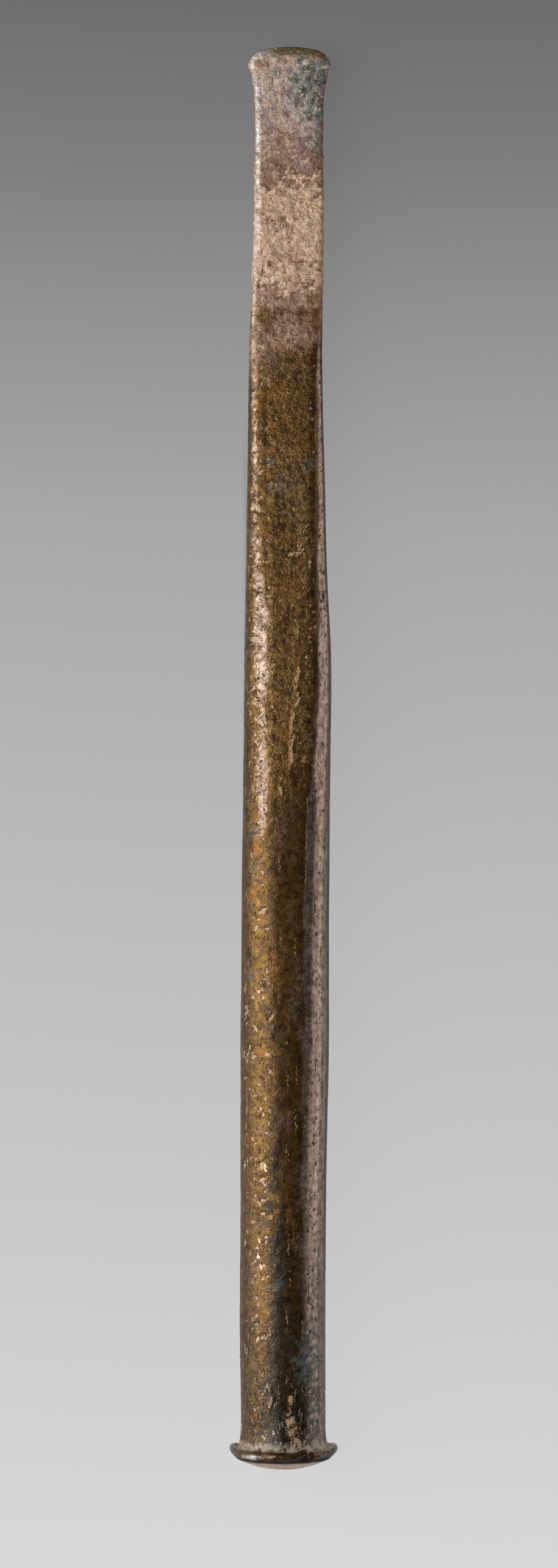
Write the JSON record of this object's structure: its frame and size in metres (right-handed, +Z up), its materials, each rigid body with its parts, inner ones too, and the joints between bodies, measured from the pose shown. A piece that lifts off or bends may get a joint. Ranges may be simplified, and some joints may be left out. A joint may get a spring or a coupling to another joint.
{
  "type": "bronze mason's chisel",
  "caption": "One-piece hammered bronze chisel: round shaft, domed struck head with a rolled burr, flat blade flaring to a curved edge.",
  "frame": {"origin": "under the middle of the chisel's box, on the plane it lies on", "axes": "+Y along the chisel from the struck head to the cutting edge, +Z up out of the blade's broad face, +X to the right seen from above with the edge away"},
  "size_m": [0.0194, 0.25, 0.0192],
  "materials": {
    "bronze": "hammered bronze under a golden-brown to dark patina, with tan crust on the blade"
  },
  "bodies": {
    "root": {"chisel": "bronze"}
  },
  "joints": []
}
